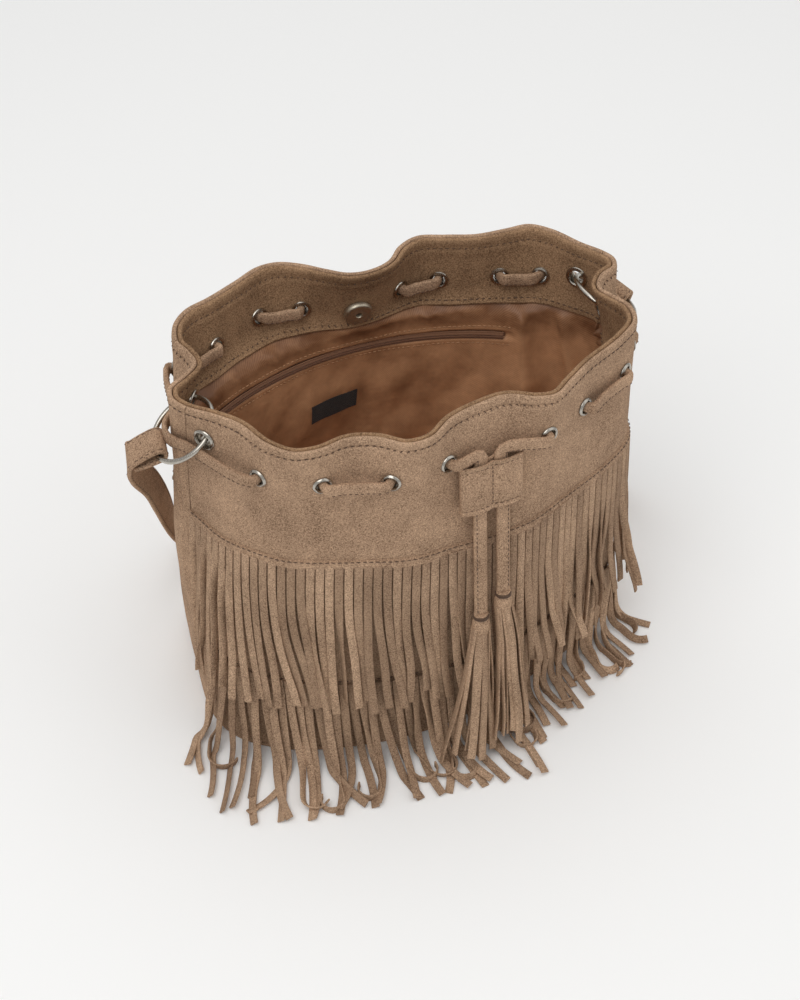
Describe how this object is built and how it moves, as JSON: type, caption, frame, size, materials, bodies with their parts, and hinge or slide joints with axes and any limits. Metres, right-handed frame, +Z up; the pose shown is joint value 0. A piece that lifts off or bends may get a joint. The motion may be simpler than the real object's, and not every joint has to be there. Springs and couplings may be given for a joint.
{
  "type": "drawstring bag",
  "caption": "Soft shoulder bag with an open ruffled rim, a drawcord woven through metal eyelets, a sliding keeper, tassels, fringe across the front, side rings and a long strap.",
  "frame": {"origin": "middle of the base panel's underside, on the surface the bag stands on", "axes": "+Z up, +X along the front from its left end to its right end as seen from the front, and the front faces -Y"},
  "size_m": [0.3555, 0.308, 0.2553],
  "materials": {
    "suede": "matt napped suede",
    "facing_suede": "matt napped suede",
    "satin": "soft satin",
    "dark_satin": "soft satin",
    "coil_nylon": "nylon coil",
    "nickel": "polished nickel",
    "board": "pressed fibre board",
    "black_tape": "woven tape"
  },
  "bodies": {
    "bag": {"base_panel": "suede", "front_panel": "suede", "back_panel": "suede", "front_yoke": "suede", "back_yoke": "suede", "right_gusset": "suede", "left_gusset": "suede", "strap": "suede", "drawcord": "suede", "left_tassel_collar": "suede", "left_tassel_strips": "suede", "right_tassel_collar": "suede", "right_tassel_strips": "suede", "upper_fringe": "suede", "lower_fringe": "suede", "front_facing": "facing_suede", "back_facing": "facing_suede", "base_board": "board", "lining": "satin", "zip_tape": "dark_satin", "pocket_bag": "dark_satin", "zip_coil": "coil_nylon", "label": "black_tape", "snap_socket": "nickel", "snap_stud": "nickel", "snap_washer_back": "nickel", "snap_washer_front": "nickel", "left_front_ring_eyelet": "nickel", "left_side_ring_eyelet": "nickel", "right_back_ring_eyelet": "nickel", "right_side_ring_eyelet": "nickel", "cord_eyelet_01": "nickel", "cord_eyelet_02": "nickel", "cord_eyelet_03": "nickel", "cord_eyelet_04": "nickel", "cord_eyelet_05": "nickel", "cord_eyelet_06": "nickel", "cord_eyelet_07": "nickel", "cord_eyelet_08": "nickel", "cord_eyelet_09": "nickel", "cord_eyelet_10": "nickel", "cord_eyelet_11": "nickel", "cord_eyelet_12": "nickel", "cord_eyelet_13": "nickel", "cord_eyelet_14": "nickel", "cord_eyelet_15": "nickel", "cord_eyelet_16": "nickel"},
    "zip_slider": {"zip_slider": "nickel"},
    "zip_puller": {"zip_puller": "nickel"},
    "left_ring": {"left_ring": "nickel"},
    "right_ring": {"right_ring": "nickel"},
    "cord_keeper": {"cord_keeper": "suede"}
  },
  "joints": [
    {"name": "zip_slide", "type": "hinge", "parent": "bag", "child": "zip_slider", "pos_m": [0.014, -0.11, 0.186], "axis": [0, 0, -1], "range_deg": [0, 60]},
    {"name": "puller_swing", "type": "hinge", "parent": "zip_slider", "child": "zip_puller", "pos_m": [-0.11271, 0.02828, 0.186], "axis": [-0.7373, -0.6756, 0], "range_deg": [0, 140]},
    {"name": "left_ring_turn", "type": "hinge", "parent": "bag", "child": "left_ring", "pos_m": [-0.13688, -0.01366, 0.2267], "axis": [0.5534, 0.0805, -0.829], "continuous": true},
    {"name": "right_ring_turn", "type": "hinge", "parent": "bag", "child": "right_ring", "pos_m": [0.13903, 0.04619, 0.22621], "axis": [-0.537, -0.091, -0.8387], "continuous": true},
    {"name": "keeper_slide", "type": "slide", "parent": "bag", "child": "cord_keeper", "axis": [0, -0.1289, -0.9917], "range_m": [0, 0.062]}
  ]
}
